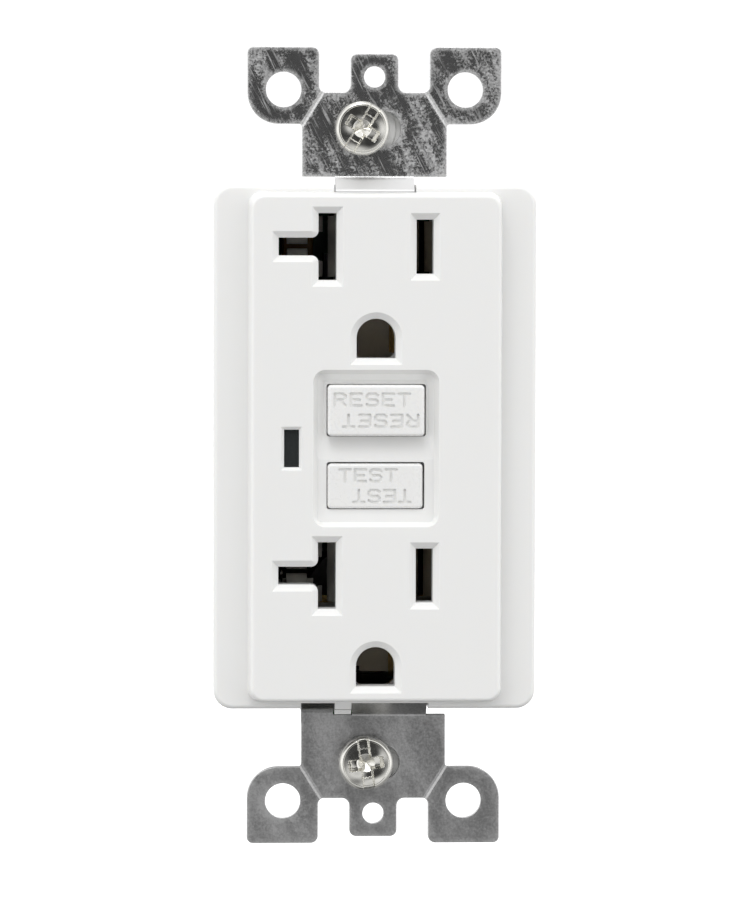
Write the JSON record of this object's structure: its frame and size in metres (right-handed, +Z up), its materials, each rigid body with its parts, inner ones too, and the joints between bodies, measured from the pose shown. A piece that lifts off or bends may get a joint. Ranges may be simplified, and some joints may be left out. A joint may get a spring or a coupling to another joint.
{
  "type": "gfci outlet",
  "caption": "Duplex ground-fault wall receptacle on a steel mounting strap, with T-slot outlets, a test button, a reset button and captive box screws.",
  "frame": {"origin": "midway between the two cover-plate screw holes, on the back plane of the strap's ears, which lies on the wall", "axes": "+Z up along the strap, +Y into the wall, +X to the right when facing the outlet; the face looks to -Y"},
  "size_m": [0.0422, 0.035, 0.1046],
  "materials": {
    "housing_plastic": "moulded thermoplastic, light gloss",
    "button_plastic": "moulded thermoplastic, light gloss",
    "back_plastic": "moulded thermoplastic, matt",
    "inner_plastic": "moulded thermoplastic, matt",
    "washer_plastic": "nylon",
    "light_pipe_plastic": "clear moulded plastic",
    "zinc_steel": "zinc-plated sheet steel",
    "steel": "nickel-plated steel",
    "spring_steel": "spring steel",
    "black_steel": "dark oxide finish",
    "green_steel": "green passivated steel",
    "brass": "rolled brass",
    "contact_brass": "dulled rolled brass",
    "tinned_brass": "tin-plated brass",
    "silver_alloy": "silver alloy contact",
    "copper_wire": "enamelled copper wire",
    "circuit_board": "green solder mask",
    "ferrite": "ferrite",
    "transformer_plastic": "black moulded plastic",
    "varistor_coating": "blue epoxy coating",
    "capacitor_case": "amber moulded case",
    "semiconductor_case": "black epoxy",
    "resistor_coating": "tan coating",
    "led_lens": "green tinted lens"
  },
  "bodies": {
    "housing": {"front_cover": "housing_plastic", "mid_frame": "inner_plastic", "back_body": "back_plastic", "mounting_strap": "zinc_steel", "ground_contact_upper": "brass", "ground_contact_lower": "brass", "ground_rivets": "steel", "fixed_contact_pads": "silver_alloy", "line_conductors": "brass", "arm_anchors": "brass", "hot_contact_strip": "contact_brass", "neutral_contact_strip": "tinned_brass", "line_hot_terminal": "contact_brass", "line_neutral_terminal": "tinned_brass", "reset_spring": "spring_steel", "test_post": "brass", "test_pin": "brass", "latch_springs": "spring_steel", "solenoid_bobbin": "inner_plastic", "solenoid_winding": "copper_wire", "solenoid_frame": "black_steel", "plunger_spring": "spring_steel", "circuit_board": "circuit_board", "transformer_case": "transformer_plastic", "transformer_cores": "ferrite", "transformer_windings": "copper_wire", "varistor": "varistor_coating", "film_capacitor": "capacitor_case", "thyristor": "semiconductor_case", "control_chip": "semiconductor_case", "resistors": "resistor_coating", "diodes": "semiconductor_case", "indicator_led": "led_lens", "light_pipe": "light_pipe_plastic", "assembly_screws": "steel"},
    "reset_button_body": {"reset_button": "button_plastic", "reset_shaft": "steel"},
    "test_button_body": {"test_button": "button_plastic"},
    "test_blade_body": {"test_blade": "spring_steel"},
    "latch_block_body": {"latch_block": "inner_plastic"},
    "latch_plate_body": {"latch_plate": "steel"},
    "plunger_body": {"plunger": "steel"},
    "hot_arm_body": {"hot_moving_arm": "brass", "hot_moving_pad": "silver_alloy"},
    "neutral_arm_body": {"neutral_moving_arm": "brass", "neutral_moving_pad": "silver_alloy"},
    "upper_washer_body": {"upper_captive_washer": "washer_plastic"},
    "upper_box_screw_body": {"upper_box_screw": "steel"},
    "lower_washer_body": {"lower_captive_washer": "washer_plastic"},
    "lower_box_screw_body": {"lower_box_screw": "steel"},
    "ground_washer_body": {"ground_washer": "green_steel"},
    "ground_screw_body": {"ground_screw": "green_steel"},
    "line_hot_clamp_body": {"line_hot_clamp": "brass"},
    "line_hot_screw_body": {"line_hot_screw": "brass"},
    "line_neutral_clamp_body": {"line_neutral_clamp": "tinned_brass"},
    "line_neutral_screw_body": {"line_neutral_screw": "steel"},
    "load_hot_clamp_body": {"load_hot_clamp": "brass"},
    "load_hot_screw_body": {"load_hot_screw": "brass"},
    "load_neutral_clamp_body": {"load_neutral_clamp": "tinned_brass"},
    "load_neutral_screw_body": {"load_neutral_screw": "steel"}
  },
  "joints": [
    {"name": "reset_press", "type": "slide", "parent": "housing", "child": "reset_button_body", "axis": [0, 1, 0], "range_m": [0, 0.0022], "stiffness_N_per_m": 600, "springref_m": -0.001, "deforming": ["reset_spring"]},
    {"name": "latch_block_lift", "type": "slide", "parent": "housing", "child": "latch_block_body", "axis": [0, 1, 0], "range_m": [0, 0.0022], "deforming": ["latch_springs"]},
    {"name": "hot_contact_arm", "type": "hinge", "parent": "housing", "child": "hot_arm_body", "pos_m": [0.01, 0.01156, -0.008], "axis": [-1, 0, 0], "range_deg": [0, 8.7]},
    {"name": "neutral_contact_arm", "type": "hinge", "parent": "housing", "child": "neutral_arm_body", "pos_m": [-0.01, 0.01156, -0.008], "axis": [-1, 0, 0], "range_deg": [0, 8.7]},
    {"name": "plunger_strike", "type": "slide", "parent": "housing", "child": "plunger_body", "axis": [0, 0, -1], "range_m": [0, 0.001], "stiffness_N_per_m": 300, "springref_m": -0.0005, "deforming": ["plunger_spring"]},
    {"name": "latch_plate_slide", "type": "slide", "parent": "latch_block_body", "child": "latch_plate_body", "axis": [0, 0, -1], "range_m": [0, 0.001]},
    {"name": "test_press", "type": "slide", "parent": "housing", "child": "test_button_body", "axis": [0, 1, 0], "range_m": [0, 0.0013], "stiffness_N_per_m": 800, "springref_m": -0.0006},
    {"name": "test_blade_bend", "type": "hinge", "parent": "housing", "child": "test_blade_body", "pos_m": [-0.00665, 0.00928, -0.00493], "axis": [0, 0, 1], "range_deg": [0, 12]},
    {"name": "upper_box_screw_shift", "type": "slide", "parent": "housing", "child": "upper_washer_body", "axis": [1, 0, 0], "range_m": [-0.00005, 0.0033]},
    {"name": "upper_box_screw_turn", "type": "hinge", "parent": "upper_washer_body", "child": "upper_box_screw_body", "pos_m": [-0.00165, 0, 0.04167], "axis": [0, 1, 0], "continuous": true},
    {"name": "lower_box_screw_shift", "type": "slide", "parent": "housing", "child": "lower_washer_body", "axis": [1, 0, 0], "range_m": [-0.0007, 0.0027]},
    {"name": "lower_box_screw_turn", "type": "hinge", "parent": "lower_washer_body", "child": "lower_box_screw_body", "pos_m": [-0.001, 0, -0.04167], "axis": [0, 1, 0], "continuous": true},
    {"name": "line_hot_clamp_slide", "type": "slide", "parent": "housing", "child": "line_hot_clamp_body", "axis": [-1, 0, 0], "range_m": [0, 0.0022]},
    {"name": "line_hot_screw_turn", "type": "hinge", "parent": "line_hot_clamp_body", "child": "line_hot_screw_body", "pos_m": [0.0185, 0.0096, -0.0175], "axis": [-1, 0, 0], "range_deg": [0, 1000]},
    {"name": "line_neutral_clamp_slide", "type": "slide", "parent": "housing", "child": "line_neutral_clamp_body", "axis": [1, 0, 0], "range_m": [0, 0.0022]},
    {"name": "line_neutral_screw_turn", "type": "hinge", "parent": "line_neutral_clamp_body", "child": "line_neutral_screw_body", "pos_m": [-0.0185, 0.0096, -0.0175], "axis": [1, 0, 0], "range_deg": [0, 1000]},
    {"name": "load_hot_clamp_slide", "type": "slide", "parent": "housing", "child": "load_hot_clamp_body", "axis": [-1, 0, 0], "range_m": [0, 0.0022]},
    {"name": "load_hot_screw_turn", "type": "hinge", "parent": "load_hot_clamp_body", "child": "load_hot_screw_body", "pos_m": [0.0185, 0.0096, 0.0175], "axis": [-1, 0, 0], "range_deg": [0, 1000]},
    {"name": "load_neutral_clamp_slide", "type": "slide", "parent": "housing", "child": "load_neutral_clamp_body", "axis": [1, 0, 0], "range_m": [0, 0.0022]},
    {"name": "load_neutral_screw_turn", "type": "hinge", "parent": "load_neutral_clamp_body", "child": "load_neutral_screw_body", "pos_m": [-0.0185, 0.0096, 0.0175], "axis": [1, 0, 0], "range_deg": [0, 1000]},
    {"name": "ground_washer_slide", "type": "slide", "parent": "housing", "child": "ground_washer_body", "axis": [0, 0, -1], "range_m": [0, 0.0016]},
    {"name": "ground_screw_turn", "type": "hinge", "parent": "ground_washer_body", "child": "ground_screw_body", "pos_m": [-0.0054, 0.007, -0.036], "axis": [0, 0, -1], "range_deg": [0, 728]}
  ],
  "couplings": [
    {"joint": "latch_block_lift", "follows": "reset_press", "ratio": 1},
    {"joint": "hot_contact_arm", "follows": "reset_press", "rad_per_m": 69},
    {"joint": "neutral_contact_arm", "follows": "reset_press", "rad_per_m": 69},
    {"joint": "latch_plate_slide", "follows": "plunger_strike", "ratio": 1},
    {"joint": "test_blade_bend", "follows": "test_press", "rad_per_m": 155},
    {"joint": "line_hot_screw_turn", "follows": "line_hot_clamp_slide", "rad_per_m": 7913.3},
    {"joint": "line_neutral_screw_turn", "follows": "line_neutral_clamp_slide", "rad_per_m": 7913.3},
    {"joint": "load_hot_screw_turn", "follows": "load_hot_clamp_slide", "rad_per_m": 7913.3},
    {"joint": "load_neutral_screw_turn", "follows": "load_neutral_clamp_slide", "rad_per_m": 7913.3},
    {"joint": "ground_screw_turn", "follows": "ground_washer_slide", "rad_per_m": 7913.3}
  ]
}
